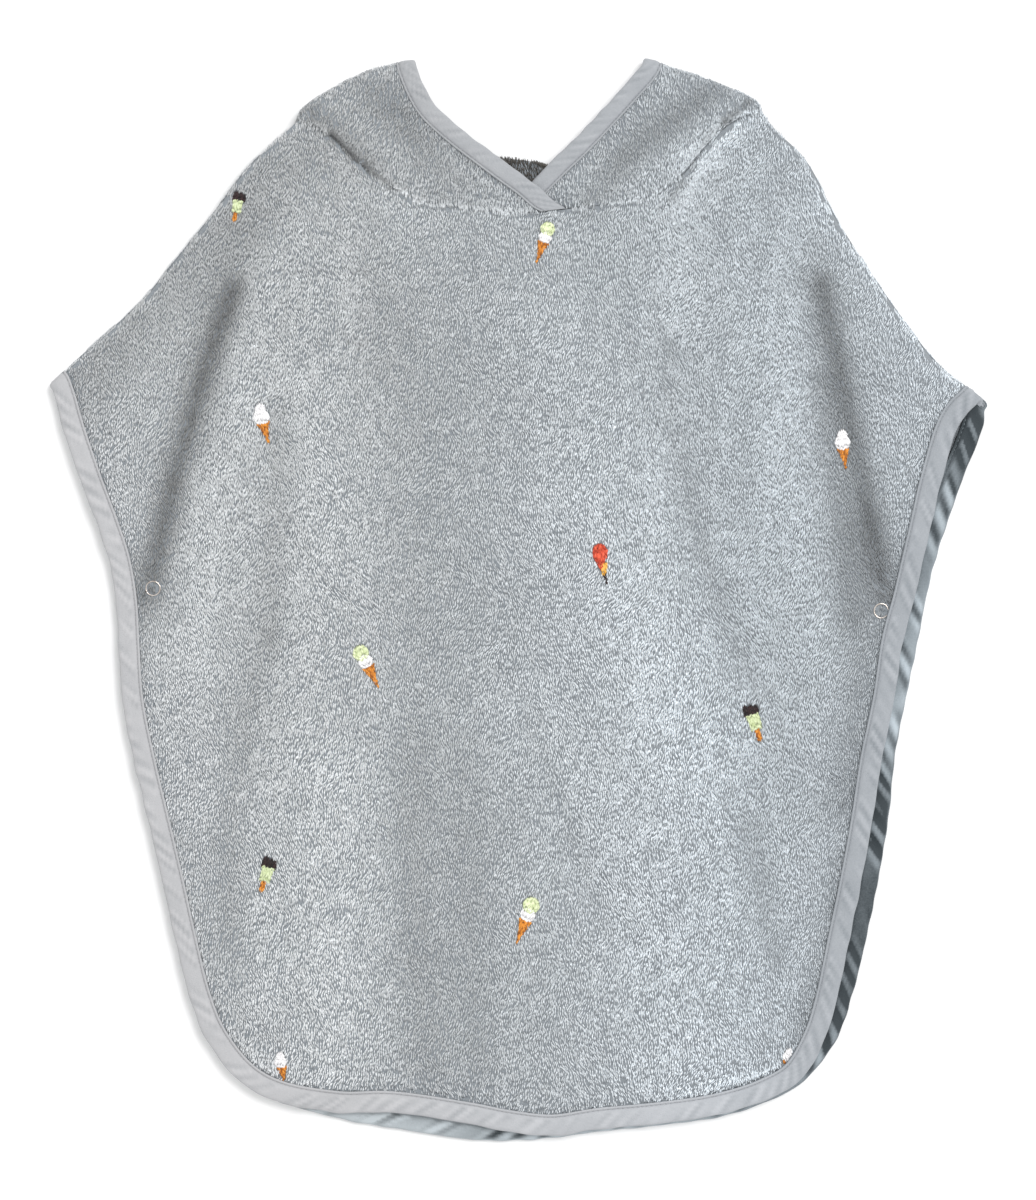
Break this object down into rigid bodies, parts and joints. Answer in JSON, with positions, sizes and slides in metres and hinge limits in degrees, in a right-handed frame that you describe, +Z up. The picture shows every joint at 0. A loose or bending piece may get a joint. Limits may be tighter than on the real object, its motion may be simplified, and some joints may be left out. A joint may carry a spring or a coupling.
{
  "type": "hooded bath poncho",
  "caption": "Hooded terry towelling bath poncho for a child, laid flat with the hood folded back, smooth bound edges and side press studs",
  "frame": {"origin": "Under the middle of the laid garment's bounding box, on the surface that it lies on.", "axes": "+Z up from the surface, out of the front panel. +Y along the garment from the hem to the folded hood. +X across it, to the right in the picture, which is the wearer's left."},
  "size_m": [0.5644, 0.6514, 0.0192],
  "materials": {
    "terry": "pale grey-blue cotton terry with uncut loops on both faces",
    "binding": "smooth pale grey cotton bias binding, softly puckered along its stitching",
    "stud": "bright nickel open-ring press stud",
    "embroidery": "satin-stitched cotton thread in white, pale green, orange, red and dark brown"
  },
  "bodies": {
    "root": {"front_panel": "terry", "back_panel": "terry", "hood_left": "terry", "hood_right": "terry", "front_binding": "binding", "back_binding": "binding", "hood_binding_left": "binding", "hood_binding_right": "binding", "stud_left_front_ring": "stud", "stud_left_clasp": "stud", "stud_left_back_ring": "stud", "stud_right_front_ring": "stud", "stud_right_clasp": "stud", "stud_right_back_ring": "stud"}
  },
  "joints": []
}
